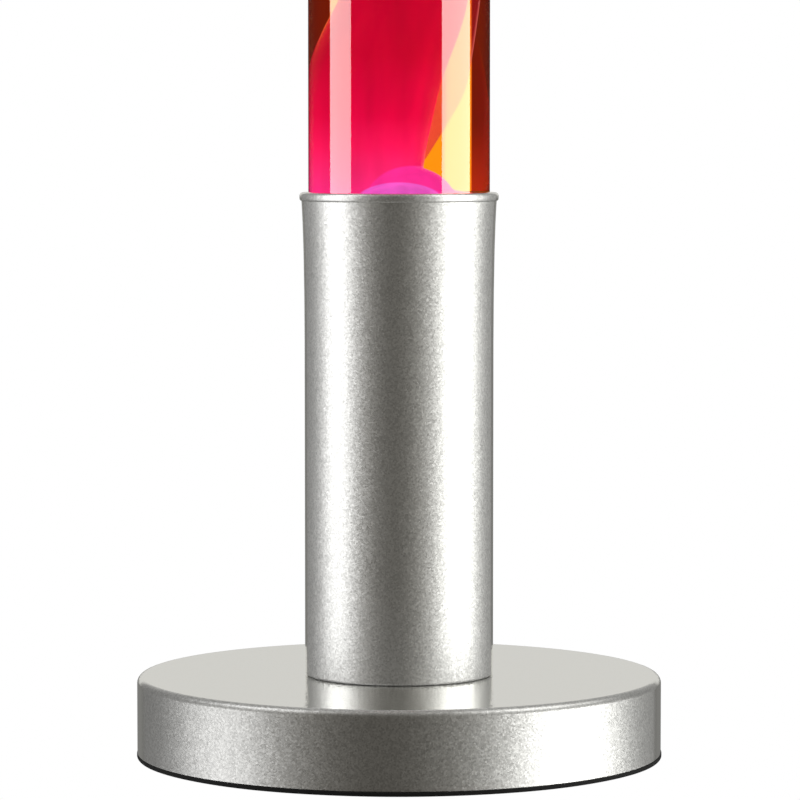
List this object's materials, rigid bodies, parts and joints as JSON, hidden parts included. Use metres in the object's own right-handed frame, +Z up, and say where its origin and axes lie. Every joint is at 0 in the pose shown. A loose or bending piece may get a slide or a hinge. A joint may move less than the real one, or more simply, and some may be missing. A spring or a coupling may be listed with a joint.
{
  "type": "floor lava lamp",
  "caption": "Tall lava lamp: weighted round silver base, slim silver pedestal with a rolled rim, liquid-filled glass bottle with glowing wax, and a matching cap.",
  "frame": {"origin": "middle of the face that stands on the floor", "axes": "+Z up along the lamp's axis, -Y to the front, +Y to the rear where the cord inlet is"},
  "size_m": [0.225, 0.227, 0.76],
  "materials": {
    "silver_paint": "silver metallic flake under clear coat",
    "black_pad": "matte closed-cell pad",
    "steel": "zinc plated",
    "concrete": "cast, rough",
    "black_rubber": "moulded",
    "silicone": "soft, translucent white",
    "phenolic": "moulded phenolic",
    "porcelain": "glazed",
    "brass": "drawn",
    "block_plastic": "moulded",
    "brown_lead": "insulated wire",
    "blue_lead": "insulated wire",
    "bulb_glass": "frosted, silvered behind",
    "bulb_metal": "rolled",
    "bulb_black": "black glass",
    "clear_glass": "clear",
    "amber_liquid": "clear dyed liquid",
    "red_wax": "glowing wax",
    "closure_metal": "pressed, lacquered",
    "liner": "soft seal",
    "black_plastic": "moulded"
  },
  "bodies": {
    "stand": {"base_shell": "silver_paint", "pedestal_tube": "silver_paint", "base_pad": "black_pad", "base_cover": "steel", "cover_screws": "steel", "clamp_plate": "steel", "clamp_bolts": "steel", "clamp_washers": "steel", "clamp_nuts": "steel", "seat_ring": "steel", "socket_bracket": "steel", "bracket_screws": "steel", "threaded_nipple": "steel", "nipple_nuts": "steel", "ballast": "concrete", "cord_grommet": "black_rubber", "seat_gasket": "silicone", "holder_dome": "phenolic", "holder_sleeve": "phenolic", "porcelain_insert": "porcelain", "screw_shell": "brass", "contact_leaf": "brass", "terminal_screws": "brass", "terminal_block": "block_plastic", "live_lead": "brown_lead", "neutral_lead": "blue_lead"},
    "bulb": {"bulb_envelope": "bulb_glass", "bulb_screw_cap": "bulb_metal", "bulb_insulator": "bulb_black", "bulb_tip": "bulb_metal"},
    "bottle": {"glass_bottle": "clear_glass", "liquid": "amber_liquid", "wax_mass": "red_wax", "heating_coil": "steel", "bottle_closure": "closure_metal", "closure_liner": "liner"},
    "blob": {"wax_blob": "red_wax"},
    "drop": {"wax_drop": "red_wax"},
    "cap": {"cap_shell": "silver_paint", "cap_ring": "black_plastic"}
  },
  "joints": [
    {"name": "bottle_lift", "type": "slide", "parent": "stand", "child": "bottle", "axis": [0, 0, 1], "range_m": [0, 0.09]},
    {"name": "cap_lift", "type": "slide", "parent": "bottle", "child": "cap", "axis": [0, 0, 1], "range_m": [0, 0.085]},
    {"name": "bulb_lift", "type": "slide", "parent": "stand", "child": "bulb", "axis": [0, 0, 1], "range_m": [0, 0.024]},
    {"name": "blob_drift", "type": "slide", "parent": "bottle", "child": "blob", "axis": [0, 0, 1], "range_m": [-0.045, 0.075], "deforming": ["liquid"]},
    {"name": "drop_drift", "type": "slide", "parent": "bottle", "child": "drop", "axis": [0, 0, 1], "range_m": [-0.03, 0.015], "deforming": ["liquid"]}
  ]
}
